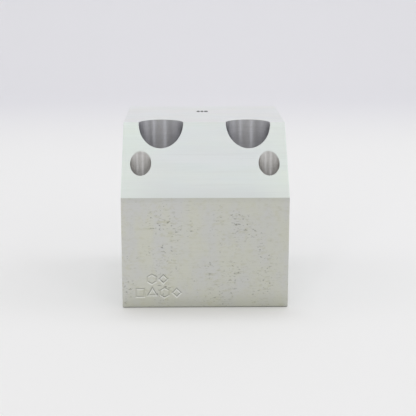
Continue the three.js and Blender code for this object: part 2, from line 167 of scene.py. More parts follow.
def milledFinish(maker, point):
    lines = maker.noise(point, 1 / toolMarks.lineSpacing, 3, 0.6, (0.012, 1.0, 1.0))
    bands = maker.noise(point, 1.0, 2, 0.5, (0.03, 0.22, 0.22))
    clouds = maker.noise(point, 0.06, 3)
    specks = maker.noise(point, 1.1, 4, 0.7, (0.6, 1.4, 1.4))
    streak = maker.rise(lines, 0.25, 0.75) * 0.5 + maker.rise(bands, 0.3, 0.7) * 0.5
    passes = maker.noise(point, 0.5, 4, 0.7, (0.03, 1.0, 1.0))
    tints = maker.noise(point, 0.16, 3, 0.6, (0.1, 0.8, 0.8))
    base = maker.layered(toolMarks.grey,
                         (maker.rise(clouds, 0.35, 0.7), (0.81, 0.83, 0.80)),
                         (streak * 0.35, (0.70, 0.735, 0.72)),
                         (maker.rise(specks, 0.66, 0.74) * 0.35, (0.62, 0.63, 0.58)),
                         (maker.rise(passes, 0.5, 0.72) * 0.3, (0.69, 0.70, 0.685)),
                         (maker.rise(tints, 0.45, 0.7) * 0.3, (0.82, 0.81, 0.83)),
                         ((1 - maker.rise(tints, 0.3, 0.5)) * 0.3, (0.80, 0.83, 0.76)))
    across, inward, height = maker.split(point)
    slopeLine = blockHigh.z / mm - block.chamfer - blockLow.y / mm
    depth = slopeLine + inward - height
    onSlope = 1 - maker.rise(depth, 0.3, 0.9)
    onTop = maker.rise(height, blockHigh.z / mm - 0.2, blockHigh.z / mm - 0.05)
    # painted shade on the slope: darker and bluer in the middle, lighter and greener towards its sides
    wavy = across + (clouds - 0.5) * 26
    edge = 1 - maker.rise(wavy.maths("ABSOLUTE"), 14, 38)
    shade = maker.blend(edge, tone(0.955, 0.985, 0.96), tone(0.925, 0.935, 0.948))
    base = maker.blend(onSlope, base, maker.blend(1.0, base, shade, "MULTIPLY"))
    # painted shade on the slope near its lower edge, where it meets the front, strongest in the middle
    ridgePaintedShadeMask = 1 - maker.rise(height, toolMarks.ridge, toolMarks.ridge + 7)
    lowEdge = onSlope * ridgePaintedShadeMask * (0.2 + edge * 0.35)
    base = maker.blend(lowEdge, base, tone(0.66, 0.69, 0.67))
    # painted light: the flat top is painted a little brighter than the other faces
    base = maker.blend(onTop, base, maker.blend(1.0, base, tone(1.06, 1.04, 1.06), "MULTIPLY"))
    rough = 0.42 + lines * 0.16 + maker.rise(specks, 0.6, 0.75) * 0.1
    return {"Base Color": base, "Roughness": rough,
            "Normal": bumped(maker, lines, toolMarks.lineDepth * mm * 10, 0.35)}


# real stains on the front, and two painted tones for the stamp walls and the foot's bevel: the bright one is
# a painted highlight, the shaded one painted shade
stainsAndPaintedLight = Sizes(clean=tone(0.635, 0.64, 0.565), olive=(0.52, 0.51, 0.33), score=(0.36, 0.36, 0.28),
               pit=(0.18, 0.185, 0.16), bright=(0.95, 0.96, 0.94), shaded=(0.30, 0.31, 0.29))


def frontFinish(paintedLightOnWalls):  # the argument paints light or shade on the walls of the stamped marks: above zero a painted highlight, below zero painted shade
    def finish(maker, point):
        across, inward, height = maker.split(point)
        lines = maker.noise(point, 1.4, 3, 0.6, (0.02, 1.0, 1.0))
        clouds = maker.noise(point, 0.11, 3, 0.55, (1.0, 1.0, 0.45))
        blotches = maker.noise(point, 0.6, 4, 0.66, (0.6, 1.0, 1.1))
        bands = maker.noise(point, 0.12, 2, 0.5, (1.0, 0.1, 0.22))
        patches = maker.noise(point, 0.1, 2, 0.5)
        dashes = maker.noise(point, 0.75, 3, 0.6, (0.42, 1.0, 1.7))
        flecks = maker.noise(point, 1.0, 2, 0.55, (0.7, 1.0, 1.2))
        crowd = maker.rise(bands * 0.55 + patches * 0.45, 0.47, 0.58)
        pits = maker.rise(flecks, 0.61, 0.70) * (0.15 + crowd * 0.85)
        scores = maker.rise(dashes, 0.57, 0.67) * (0.2 + crowd * 0.8)
        stained = maker.rise(blotches, 0.50, 0.68) * (0.5 + crowd * 0.5)
        # a mask for painted shade: darker towards the floor, with an uneven edge
        foot = 1 - maker.rise(height + blotches * 5, 2.0, 11.0)
        # a mask for painted shade in a band just under the ridge
        ridgePaintedShadeMask = maker.rise(height, toolMarks.ridge - 3, toolMarks.ridge - 0.6)
        base = maker.layered(stainsAndPaintedLight.clean,
                             (maker.rise(clouds, 0.35, 0.68), (0.622, 0.627, 0.61)),
                             (stained * 0.40, stainsAndPaintedLight.olive),
                             (maker.rise(lines, 0.35, 0.75) * 0.16, (0.53, 0.535, 0.49)),
                             (scores * 0.40, stainsAndPaintedLight.score),
                             (pits * 0.62, stainsAndPaintedLight.pit),
                             # painted shade, darker towards the floor
                             (foot * 0.34, (0.36, 0.37, 0.28)),
                             # painted shade in a band just under the ridge
                             (ridgePaintedShadeMask * 0.2, (0.44, 0.45, 0.43)),
                             # painted shade, darker towards the right
                             (maker.rise(across, -38.0, 38.0) * 0.14, (0.45, 0.46, 0.43)))
        # painted highlight or painted shade laid over the walls of the stamped marks
        if paintedLightOnWalls:
            base = maker.layered(base, (abs(paintedLightOnWalls), stainsAndPaintedLight.bright if paintedLightOnWalls > 0 else stainsAndPaintedLight.shaded))
        relief = lines * 0.35 - pits * 1.4 - scores * 0.7
        return {"Base Color": base, "Roughness": 0.5 + stained * 0.12 + pits * 0.1,
                "Normal": bumped(maker, relief, 0.04 * mm, 0.6)}
    return finish


def boredFinish(light, dark, ringDepth, axis):  # rings that turn round a hole's axis
    stretch = [0.06, 0.06, 0.06]
    stretch[axis] = 1.0

    def finish(maker, point):
        rings = maker.noise(point, 3.4, 3, 0.75, stretch)
        feed = maker.noise(point, 0.55, 2, 0.5, stretch)
        mottle = maker.noise(point, 0.8, 3)
        base = maker.layered(tone(*light), (maker.rise(rings, 0.3, 0.7) * 0.35, dark),
                             (maker.rise(feed, 0.4, 0.65) * 0.25, dark),
                             (maker.rise(mottle, 0.5, 0.75) * 0.25, (0.60, 0.60, 0.54)))
        return {"Base Color": base, "Roughness": 0.42 + mottle * 0.1,
                "Normal": bumped(maker, rings, ringDepth * mm, 1.0)}
    return finish


def inkFinish(maker, point):
    patchy = maker.noise(point, 1.6, 3, 0.6)
    base = maker.blend(maker.rise(patchy, 0.35, 0.7), tone(0.06, 0.06, 0.062), tone(0.20, 0.20, 0.205))
    return {"Base Color": base, "Roughness": 0.6 + patchy * 0.2}


def metal(name, light, dark, rough, pitch, grooves=0.5):
    def finish(maker, point):
        rings = maker.noise(point, pitch, 3, 0.6)
        clouds = maker.noise(point, 0.25, 3)
        wear = maker.noise(point, 1.1, 5, 0.65)
        base = maker.layered(tone(*light), (maker.rise(clouds, 0.3, 0.7), dark),
                             (maker.rise(wear, 0.58, 0.72) * 0.4, dark))
        return {"Base Color": base, "Roughness": rough + maker.rise(wear, 0.4, 0.8) * 0.15,
                "Normal": bumped(maker, rings, 0.01 * mm, grooves)}
    return shaded(name, finish, Metallic=1.0)


def rubberFinish(maker, point):
    grain = maker.noise(point, 3.0, 4, 0.6)
    dust = maker.noise(point, 0.5, 3)
    base = maker.blend(maker.rise(dust, 0.45, 0.75) * 0.5, tone(0.018, 0.018, 0.019), tone(0.05, 0.05, 0.048))
    return {"Base Color": base, "Roughness": 0.45 + grain * 0.25,
            "Normal": bumped(maker, grain, 0.01 * mm, 0.5)}


milled = shaded("milledAluminium", milledFinish, Metallic=0.62)
front = shaded("stainedAluminium", frontFinish(0), Metallic=0.55)
# lit and shaded copies of the front's finish: a painted highlight for the stamps' lower walls, painted shade
# for their upper walls and the foot's bevel
stampPaintedHighlight = shaded("stampLowerWallPaintedHighlight", frontFinish(0.42), Metallic=0.55)
paintedShadeFinish = shaded("stampUpperWallAndFootPaintedShade", frontFinish(-0.55), Metallic=0.55)
alongRings = {"Metallic": 1.0, "Anisotropic": 0.95, "Anisotropic Rotation": 0.25}
counterTones = ((0.72, 0.72, 0.745), (0.58, 0.58, 0.60))
reamTones = ((0.84, 0.828, 0.815), (0.72, 0.71, 0.695))
crossTones = ((0.78, 0.78, 0.79), (0.68, 0.68, 0.68))
counterbored = shaded("counterboredAluminium", boredFinish(*counterTones, 0.02, 2), **alongRings)
reamed = shaded("reamedAluminium", boredFinish(*reamTones, 0.02, 2), **alongRings)
boredAcross = shaded("crossBoredAluminium", boredFinish(*crossTones, 0.05, 0), Metallic=1.0)
boredRear = shaded("rearBoredAluminium", boredFinish(*crossTones, 0.05, 1), Metallic=1.0)
inked = shaded("layoutInk", inkFinish)
plated = metal("zincPlatedSteel", (0.66, 0.67, 0.66), (0.52, 0.53, 0.54), 0.24, 2.0)
ground = metal("groundSteel", (0.60, 0.61, 0.62), (0.50, 0.51, 0.53), 0.14, 4.0, 0.3)
sprung = metal("oiledSpringSteel", (0.34, 0.34, 0.35), (0.22, 0.22, 0.24), 0.28, 3.0)
brassy = metal("turnedBrass", (0.78, 0.60, 0.28), (0.62, 0.46, 0.20), 0.22, 3.0)
rubber = shaded("nitrileRubber", rubberFinish)
print("finishes ready")


# Geometry node trees.

def emptyTree(name, inputs):
    tree = bpy.data.node_groups.new(name, "GeometryNodeTree")
    tree.interface.new_socket("Geometry", in_out="INPUT", socket_type="NodeSocketGeometry")
    for inputName, value in inputs.items():
        kind = "NodeSocketInt" if isinstance(value, int) else "NodeSocketFloat"
        socket = tree.interface.new_socket(inputName, in_out="INPUT", socket_type=kind)
        socket.default_value = value
    tree.interface.new_socket("Finish", in_out="INPUT", socket_type="NodeSocketMaterial")
    tree.interface.new_socket("Geometry", in_out="OUTPUT", socket_type="NodeSocketGeometry")
    maker = Maker(tree)
    given = tree.nodes.new("NodeGroupInput")
    wires = Sizes({socket.name: Wire(maker, socket) for socket in given.outputs if socket.name})
    return tree, maker, wires


def closeTree(tree, maker, wires, geometry):
    real = maker.node("GeometryNodeRealizeInstances", {0: geometry})
    done = maker.node("GeometryNodeSetMaterial", {"Geometry": real, "Material": wires.Finish})
    end = tree.nodes.new("NodeGroupOutput")
    tree.links.new(done.socket, end.inputs[0])
    return tree


def grown(name, tree, finish, **sizes):  # the mesh that a tree makes, as a plain object
    seed = bpy.data.objects.new(name + "Seed", bpy.data.meshes.new(name + "Seed"))
    return reshaped(seed, tree, finish, name, **sizes)


def reshaped(piece, tree, finish, name=None, **sizes):
    if piece.name not in scene.collection.objects:
        scene.collection.objects.link(piece)
    modifier = piece.modifiers.new("tree", "NODES")
    modifier.node_group = tree
    for socket in tree.interface.items_tree:
        if socket.in_out != "INPUT":
            continue
        if socket.name in sizes:
            modifier[socket.identifier] = sizes[socket.name]
        if socket.name == "Finish":
            modifier[socket.identifier] = finish
    mesh = evaluated(piece)
    title = name or piece.name
    bpy.data.objects.remove(piece)
    return linked(title, mesh)


def evaluated(piece):
    bpy.context.view_layer.update()
    graph = bpy.context.evaluated_depsgraph_get()
    return bpy.data.meshes.new_from_object(piece.evaluated_get(graph))


def linked(name, mesh):
    piece = bpy.data.objects.new(name, mesh)
    scene.collection.objects.link(piece)
    return piece


def threadTree():  # presses a helical V into the round part of a piece that stands on Z
    tree, maker, wires = emptyTree("threadTree", {"Radius": 5.0, "Depth": 0.5, "Pitch": 1.0, "Low": 0.0,
                                                  "High": 5.0, "Taper": 0.5})
    place = maker.node("GeometryNodeInputPosition")
    x, y, z = maker.split(place)
    turn = y.maths("ARCTAN2", x) / (2 * pi)
    tooth = ((z / wires.Pitch - turn).maths("FRACT") * 2 - 1).maths("ABSOLUTE")
    tooth = maker.node("ShaderNodeClamp", {0: tooth * 1.35 - 0.15})
    flat = maker.node("ShaderNodeCombineXYZ", {0: x, 1: y})
    radius = maker.node("ShaderNodeVectorMath", {0: flat}, "Value", operation="LENGTH")
    inside = maker.rise(z, wires.Low, wires.Low + wires.Taper)
    inside = inside * (1 - maker.rise(z, wires.High - wires.Taper, wires.High))
    onWall = radius.maths("GREATER_THAN", wires.Radius - 0.00002)
    reach = tooth * inside * onWall * wires.Depth / radius
    offset = maker.node("ShaderNodeVectorMath", {0: flat, "Scale": reach * -1}, operation="SCALE")
    moved = maker.node("GeometryNodeSetPosition", {"Geometry": wires.Geometry, "Offset": offset})
    return closeTree(tree, maker, wires, moved)


def springTree():  # a compression spring on Z with closed, ground ends
    tree, maker, wires = emptyTree("springTree", {"Radius": 5.0, "Wire": 0.5, "Low": 0.0, "High": 8.0,
                                                  "Turns": 5.0, "Steps": 200, "From": 0.0, "To": 1.0})
    coil = maker.node("GeometryNodeCurvePrimitiveLine")
    coil = maker.node("GeometryNodeResampleCurve", {"Curve": coil, "Count": wires.Steps})
    turn = maker.node("GeometryNodeSplineParameter") * wires.Turns
    angle = turn * (2 * pi)
    span = wires.Turns - 2
    open_ = maker.node("ShaderNodeClamp", {0: turn - 1, 2: span})
    closeRise = wires.Wire * 1.12
    openRise = (wires.High - wires.Low - wires.Wire - closeRise * 2) / span
    height = wires.Low + wires.Wire * 0.5 + closeRise * (turn - open_) + openRise * open_
    x = angle.maths("COSINE") * wires.Radius
    y = angle.maths("SINE") * wires.Radius
    place = maker.node("ShaderNodeCombineXYZ", {0: x, 1: y, 2: height})
    coil = maker.node("GeometryNodeSetPosition", {"Geometry": coil, "Position": place})
    coil = maker.node("GeometryNodeTrimCurve", {"Curve": coil, "Start": wires.From, "End": wires.To})
    section = maker.node("GeometryNodeCurvePrimitiveCircle", {"Resolution": 14, "Radius": wires.Wire * 0.5})
    tube = maker.node("GeometryNodeCurveToMesh", {"Curve": coil, "Profile Curve": section, "Fill Caps": True})
    return closeTree(tree, maker, wires, tube)


def stampTree():  # a row of little outline stamps on X, each struck with the next many-sided punch
    tree, maker, wires = emptyTree("stampTree", {"Size": 4.0, "Stroke": 0.5, "Pitch": 5.0, "Count": 4,
                                                 "First": 0})
    section = maker.node("GeometryNodeCurvePrimitiveCircle", {"Resolution": 4, "Radius": wires.Stroke * 0.5})
    punches = []
    for sides, turnDegrees, reach in ((4, 45, 0.575), (3, 90, 0.5), (6, 30, 0.49), (4, 0, 0.415)):
        mitred = maker.node("GeometryNodeTransform",
                            {"Geometry": section, "Scale": (1 / cos(pi / sides), 0.6, 1.0)})
        outline = maker.node("GeometryNodeCurvePrimitiveCircle",
                             {"Resolution": sides, "Radius": wires.Size * reach})
        outline = maker.node("GeometryNodeTransform",
                             {"Geometry": outline, "Rotation": (0, 0, radians(turnDegrees))})
        struck = maker.node("GeometryNodeCurveToMesh", {"Curve": outline, "Profile Curve": mitred})
        struck = maker.node("GeometryNodeTransform", {"Geometry": struck, "Rotation": (radians(90), 0, 0)})
        punches.append(maker.node("GeometryNodeGeometryToInstance", {0: struck}))
    joined = maker.tree.nodes.new("GeometryNodeJoinGeometry")
    for punch in reversed(punches):
        maker.tree.links.new(punch.socket, joined.inputs[0])
    step = maker.node("ShaderNodeCombineXYZ", {0: wires.Pitch})
    row = maker.node("GeometryNodeMeshLine", {"Count": wires.Count, "Offset": step})
    index = maker.node("GeometryNodeInputIndex") + wires.First
    placed = maker.node("GeometryNodeInstanceOnPoints",
                        {"Points": row, "Instance": Wire(maker, joined.outputs[0]), "Pick Instance": True,
                         "Instance Index": index})
    return closeTree(tree, maker, wires, placed)


threads = threadTree()
springs = springTree()
stamps = stampTree()
print("node trees ready")


# Mesh helpers; outlines and profiles are in millimetres.

def meshed(work, name, finish=None):  # ends a bmesh and puts it in the scene
    bmesh.ops.recalc_face_normals(work, faces=work.faces)
    mesh = bpy.data.meshes.new(name)
    work.to_mesh(mesh)
    work.free()
    if finish:
        mesh.materials.append(finish)
    return linked(name, mesh)


def facing(direction):  # turns a piece's Z towards a direction
    return Vector(direction).to_track_quat("Z", "Y").to_matrix().to_4x4()


def lathe(name, profile, sides=96, finish=None, stretch=None):
    # A closed turned body on Z, from (radius, height) points in millimetres that run up its outside.
    # stretch = (low, high, rows) splits the straight wall between two heights, for a thread.
    points = []
    for (r0, z0), (r1, z1) in zip(profile, profile[1:]):
        points.append((r0, z0))
        if stretch and abs(z0 - stretch[0]) < 1e-6 and abs(z1 - stretch[1]) < 1e-6:
            for row in range(1, stretch[2]):
                share = row / stretch[2]
                points.append((r0 + (r1 - r0) * share, z0 + (z1 - z0) * share))
    points.append(profile[-1])
    closedRing = profile[0] == profile[-1]
    if closedRing:
        points = points[:-1]
    work = bmesh.new()
    rings = []
    for r, z in points:
        if r < 1e-9:
            rings.append([work.verts.new((0, 0, z * mm))])
            continue
        ring = []
        for side in range(sides):
            angle = 2 * pi * side / sides
            ring.append(work.verts.new((r * mm * cos(angle), r * mm * sin(angle), z * mm)))
        rings.append(ring)
    pairs = list(zip(rings, rings[1:]))
    if closedRing:
        pairs.append((rings[-1], rings[0]))
    for below, above in pairs:
        for side in range(sides):
            after = (side + 1) % sides
            corners = [below[side % len(below)], below[after % len(below)],
                       above[after % len(above)], above[side % len(above)]]
            corners = list(dict.fromkeys(corners))
            if len(corners) > 2:
                work.faces.new(corners)
    return meshed(work, name, finish)


def prism(name, corners, low, high, finish=None):  # a closed prism on Z from outline points in millimetres
    work = bmesh.new()
    bottom = [work.verts.new((x * mm, y * mm, low * mm)) for x, y in corners]
    top = [work.verts.new((x * mm, y * mm, high * mm)) for x, y in corners]
    work.faces.new(list(reversed(bottom)))
    work.faces.new(top)
    for index in range(len(corners)):
        after = (index + 1) % len(corners)
        work.faces.new([bottom[index], bottom[after], top[after], top[index]])
    return meshed(work, name, finish)


def hexagon(flats, turnDegrees=0):
    corner = flats / sqrt(3)
    return [(corner * cos(radians(60 * k + turnDegrees)), corner * sin(radians(60 * k + turnDegrees)))
            for k in range(6)]


def combine(piece, others, operation="DIFFERENCE"):
    for other in others:
        modifier = piece.modifiers.new("cut", "BOOLEAN")
        modifier.operation = operation
        modifier.solver = "MANIFOLD"
        modifier.object = other
    mesh = evaluated(piece)
    name = piece.name
    for other in others:
        bpy.data.objects.remove(other)
    bpy.data.objects.remove(piece)
    return linked(name, mesh)


alongX = Matrix(((0, 0, 1), (1, 0, 0), (0, 1, 0)))  # turns a piece's Z to X
towardsX = {1: alongX.to_4x4(), -1: (Matrix(((0, 0, -1), (-1, 0, 0), (0, 1, 0)))).to_4x4()}
alongY = Matrix(((1, 0, 0), (0, 0, 1), (0, -1, 0))).to_4x4()
upright = Matrix.Identity(4)
downwards = Matrix.Rotation(pi, 4, "X")


def moved(piece, turn, place):
    piece.data.transform(Matrix.Translation(Vector(place)) @ turn)
    return piece


def smoothed(piece, sharpDegrees):
    piece.data.shade_smooth()
    piece.data.set_sharp_from_angle(angle=radians(sharpDegrees))
    return piece


def settled(piece, body, slotName, *nodes, sharp=32):
    smoothed(piece, sharp)
    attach(piece, body)
    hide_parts(*nodes)
    return piece


def centreOf(node):
    low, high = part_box(node)
    return (low + high) / 2


# The camera, in widths of the block and degrees.

camera = Sizes(right=-0.101, back=-5.804, up=1.974, yaw=1.15, pitch=13.14, roll=0.10, lens=87.14)


def makeCamera():
    data = bpy.data.cameras.new("camera")
    data.lens = camera.lens
    data.sensor_width = 36
    data.clip_start = 0.01
    data.clip_end = 50
    seen = bpy.data.objects.new("camera", data)
    yaw, pitch, roll = (radians(camera[key]) for key in ("yaw", "pitch", "roll"))
    turn = (Matrix.Rotation(-yaw, 4, "Z") @ Matrix.Rotation(pi / 2 - pitch, 4, "X")
            @ Matrix.Rotation(roll, 4, "Z"))
    place = Vector((camera.right * width, blockLow.y + camera.back * width, camera.up * width))
    seen.matrix_world = Matrix.Translation(place) @ turn
    scene.collection.objects.link(seen)
    scene.camera = seen


makeCamera()


# The block.

# Sizes in millimetres.
boltHole = Sizes(x=20.2, behind=29.5, head=10.3, shank=6.75, seat=38.0)
smallHole = Sizes(x=29.1, behind=13.3, radius=4.75, lower=4.62, step=61.6)
spoolLine = Sizes(radius=7.06, groove=10.0, chamber=9.0, chamberStart=20.5, thread=11.0,
                  threadStart=30.0, grooves=((-2, 2), (5, 9), (12, 15.5)))
rearPort = Sizes(minor=5.75, major=6.5, pitch=1.337, depth=14.0, face=10.5, threaded=11.5)
pilotHole = Sizes(minor=4.4, major=4.86, pitch=0.907, depth=9.0, face=7.5, threaded=8.2, drill=2.0,
                  orifice=2.5)
faceDepth = 1.0

low = blockLow / mm
high = blockHigh / mm
spoolY = centreOf("main_spool").y / mm
spoolZ = centreOf("main_spool").z / mm
reliefY = centreOf("relief_poppet").y / mm
reliefZ = centreOf("relief_poppet").z / mm
rearY = high.y


def topHeight(y):  # height of the chamfered front and the flat top above a point
    return min(high.z, high.z - block.chamfer + (y - low.y))


def plainBlock():
    side = [(low.y, 0), (rearY, 0), (rearY, high.z), (low.y + block.chamfer, high.z),
            (low.y, high.z - block.chamfer)]
    piece = prism("valveBody", side, low.x, high.x, milled)
    piece.data.transform(alongX.to_4x4())  # the outline's y and z were drawn as x and y
    work = bmesh.new()
    work.from_mesh(piece.data)
    foot = [edge for edge in work.edges if max(vert.co.z for vert in edge.verts) < 0.1 * mm]
    bmesh.ops.bevel(work, geom=foot, offset=block.footBreak * mm, segments=1, affect="EDGES",
                    clamp_overlap=True)
    square = [edge for edge in work.edges if edge.calc_face_angle() > radians(60)]
    bmesh.ops.bevel(work, geom=square, offset=block.edgeBreak * mm, segments=2, profile=0.5,
                    affect="EDGES", clamp_overlap=True)
    bmesh.ops.recalc_face_normals(work, faces=work.faces)
    work.to_mesh(piece.data)
    work.free()
    return piece


def drill(start, end, radius, sides=64):  # a plain round cutter between two points along X, Y or Z
    a, b = Vector(start), Vector(end)
    length = (b - a).length
    cutter = lathe("drill", [(0, 0), (radius, 0), (radius, length), (0, length)], sides)
    return moved(cutter, facing(b - a), a * mm)


def rimCutter(x, y, radius, sides=128):  # breaks the rim of an upright hole, following the face above it
    brk = block.rimBreak
    work = bmesh.new()
    rows = []
    for side in range(sides):
        angle = 2 * pi * side / sides
        row = []
        for reach, rise in ((radius + brk + 0.3, 0.3), (radius - 0.25, -brk - 0.25), (radius - 0.25, 1.2)):
            py = y + reach * sin(angle)
            row.append(work.verts.new(((x + reach * cos(angle)) * mm, py * mm, (topHeight(py) + rise) * mm)))
        rows.append(row)
    for side in range(sides):
        one, two = rows[side], rows[(side + 1) % sides]
        for k in range(3):
            after = (k + 1) % 3
            work.faces.new([one[k], two[k], two[after], one[after]])
    return meshed(work, "rim")


def countersink(point, outward, radius, grow=0.3):  # a small cone that breaks the mouth of a hole
    cutter = lathe("mouth", [(0, -grow - 0.05), (radius - 0.05, -grow - 0.05), (radius + grow + 0.25, 0.25),
                             (0, 0.25)], 64)
    return moved(cutter, facing(outward), Vector(point) * mm)


def threadCutter(point, inward, size):
    rows = int(size.threaded / size.pitch * 8)
    cutter = lathe("tap", [(0, -1), (size.major, -1), (size.major, size.threaded),
                           (size.minor, size.threaded + 0.4), (size.minor, size.depth),
                           (0, size.depth)], 64, stretch=(-1, size.threaded, rows))
    depth = size.major - size.minor
    cutter = reshaped(cutter, threads, None, Radius=size.major * mm, Depth=depth * mm,
                      Pitch=size.pitch * mm, Low=-1.1 * mm, High=(size.threaded + 0.5) * mm,
                      Taper=0.3 * mm)
    return moved(cutter, facing(inward), Vector(point) * mm)


def upperHoles(side):
    past = 3
    x = side * boltHole.x
    y = low.y + boltHole.behind
    pinX = side * smallHole.x
    pinY = low.y + smallHole.behind
    return [drill((x, y, boltHole.seat), (x, y, high.z + past), boltHole.head, 128),
            drill((x, y, -past), (x, y, boltHole.seat + 1), boltHole.shank, 96),
            drill((pinX, pinY, smallHole.step), (pinX, pinY, high.z + past), smallHole.radius, 96),
            drill((pinX, pinY, -past), (pinX, pinY, smallHole.step + 1), smallHole.lower, 96),
            rimCutter(x, y, boltHole.head), rimCutter(pinX, pinY, smallHole.radius, 96),
            countersink((x, y, 0), (0, 0, -1), boltHole.shank, 0.4),
            countersink((x, y, boltHole.seat), (0, 0, 1), boltHole.shank, 0.5),
            countersink((pinX, pinY, 0), (0, 0, -1), smallHole.lower, 0.4)]


def spoolCuts():
    def along(start, end, radius):
        return drill((start, spoolY, spoolZ), (end, spoolY, spoolZ), radius, 80)
    reach = spoolLine.chamberStart + 2
    cuts = [along(-reach, reach, spoolLine.radius)]
    for start, end in spoolLine.grooves:
        cuts.append(along(start, end, spoolLine.groove))
        if start > 0:
            cuts.append(along(-start, -end, spoolLine.groove))
    for side in (-1, 1):
        face = (side * high.x, spoolY, spoolZ)
        threadStart = spoolLine.threadStart
        cuts += [along(side * spoolLine.chamberStart, side * (threadStart + 2), spoolLine.chamber),
                 along(side * threadStart, side * (high.x + 2), spoolLine.thread),
                 countersink(face, (side, 0, 0), spoolLine.thread, 0.35)]
    return cuts


def rearCuts():
    def inward(x, z, depth, radius):
        return drill((x, rearY + 2, z), (x, rearY - depth, z), radius)
    cuts = []
    for name in ("pressure_port_face", "tank_port_face", "left_pilot_port_face", "right_pilot_port_face"):
        mount = next(m for m in frame["record"]["mounts"] if m["name"] == name)
        size = pilotHole if "pilot" in name else rearPort
        side = -1 if "left" in name else 1
        x = side * centreOf("right_pilot_orifice").x / mm if "pilot" in name else 0
        z = mount["pos_m"][2] / mm
        seat = (x, rearY - faceDepth, z)
        cuts += [inward(x, z, faceDepth, size.face),
                 threadCutter(seat, (0, -1, 0), Sizes(size, depth=size.depth - faceDepth)),
                 countersink(seat, (0, 1, 0), size.major, 0.25),
                 countersink((x, rearY, z), (0, 1, 0), size.face, 0.2)]
        if size is pilotHole:
            cuts += [inward(x, z, size.depth + 4, size.orifice),
                     inward(x, z, rearY - spoolY - spoolLine.chamber + 1, size.drill)]
    return cuts


# Each plugged drilling: its axis, the side it enters from, where it stops, its radius and its facets.
drillings = {"pressure_riser_plug": (2, -1, 38, 3.0, 40), "relief_riser_plug": (2, -1, 57, 2.2, 40),
             "pressure_cross_plug": (1, 1, centreOf("pressure_riser_plug").y / mm, 2.6, 40),
             "left_tank_drilling_plug": (1, 1, spoolY, 2.8, 40),
             "right_tank_drilling_plug": (1, 1, spoolY, 2.8, 40), "tank_gallery_plug": (0, 1, -17, 4.0, 48)}
plugPocket = Sizes(depth=(6, 5, 5), clearance=0.06, rim=0.3)
workPort = Sizes(radius=3.0, top=39, recess=6.2, recessDepth=1.1)


def smallDrillings():
    cuts = []
    for node, (axis, side, stop, radius, facets) in drillings.items():
        plugLow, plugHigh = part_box(node)
        crossAxis = 1 if axis == 0 else 0
        plugRadius = (plugHigh[crossAxis] - plugLow[crossAxis]) / 2 / mm
        face = (high.x, rearY, 0)[axis]

        def at(distance):
            point = centreOf(node) / mm
            point[axis] = distance
            return point
        outward = [0, 0, 0]
        outward[axis] = side
        pocket = face - side * plugPocket.depth[axis]
        cuts += [drill(at(face + side * 3), at(stop), radius, facets),
                 drill(at(face + side * 3), at(pocket), plugRadius + plugPocket.clearance),
                 countersink(at(face), outward, plugRadius, plugPocket.rim)]
    port = centreOf("right_work_port_seal") / mm
    for x in (-port.x, port.x):
        cuts += [drill((x, port.y, -3), (x, port.y, workPort.top), workPort.radius, 48),
                 drill((x, port.y, -3), (x, port.y, workPort.recessDepth), workPort.recess, 80)]
    return cuts


# Each step of a valve's bore: where it starts or stops, its radius and its facets.
reliefBore = ((3, 2.5, 40), (10, 6.0, 64), (21.5, 7.0, 64), (31.5, 9.5, 96))
loadCheckBore = ((5, 7.0, 64), (18, 6.0, 64), (25, 3.3, 40))


def sideValveCuts():
    y = centreOf("load_check_poppet").y / mm
    cuts = [drill((start, reliefY, reliefZ), (high.x + 2, reliefY, reliefZ), radius, facets)
            for start, radius, facets in reliefBore]
    cuts.append(countersink((high.x, reliefY, reliefZ), (1, 0, 0), reliefBore[-1][1], 0.35))
    cuts += [drill((0, y, -3), (0, y, top), radius, facets) for top, radius, facets in loadCheckBore]
    return cuts + [countersink((0, y, 0), (0, 0, -1), loadCheckBore[0][1], 0.35)]


stamp = Sizes(size=4.5, stroke=1.0)
# Each row of stamps: where it starts across and up, its pitch, how many and the first punch.
stampRows = {"upperRow": (-24.1, 13.4, 5.2, 2, 2), "lowerRow": (-29.4, 7.0, 5.5, 4, 0)}


def stampCuts():
    cuts = []
    for name, (x, z, pitch, count, first) in stampRows.items():
        cutter = grown(name, stamps, None, Size=stamp.size * mm, Stroke=stamp.stroke * mm,
                       Pitch=pitch * mm, Count=count, First=first)
        cuts.append(moved(cutter, upright, (x * mm, blockLow.y, z * mm)))
    return cuts


inkDots = Sizes(y=23.2, x=(-2.5, -0.6, 1.4), radius=(0.85, 0.8, 1.0), long=2.6, depth=0.12)


def inkPunches():  # three long shallow dimples near the back of the top
    cuts = []
    for x, radius in zip(inkDots.x, inkDots.radius):
        depth = inkDots.depth
        dimple = lathe("dimple", [(0, -depth), (radius * 0.8, -depth * 0.7), (radius, 0), (radius, 0.2),
                                  (0, 0.2)], 32)
        cuts.append(moved(dimple, Matrix.Diagonal((1, inkDots.long / radius, 1, 1)),
                          (x * mm, inkDots.y * mm, blockHigh.z)))
    return cuts


def makeBody():
    cuts = upperHoles(-1) + upperHoles(1) + spoolCuts() + rearCuts() + smallDrillings() + sideValveCuts()
    cuts += stampCuts() + inkPunches()
    piece = combine(plainBlock(), cuts)
    paintBody(piece.data)
    settled(piece, "valve", "machined_aluminium", "valve_body", sharp=10.5)


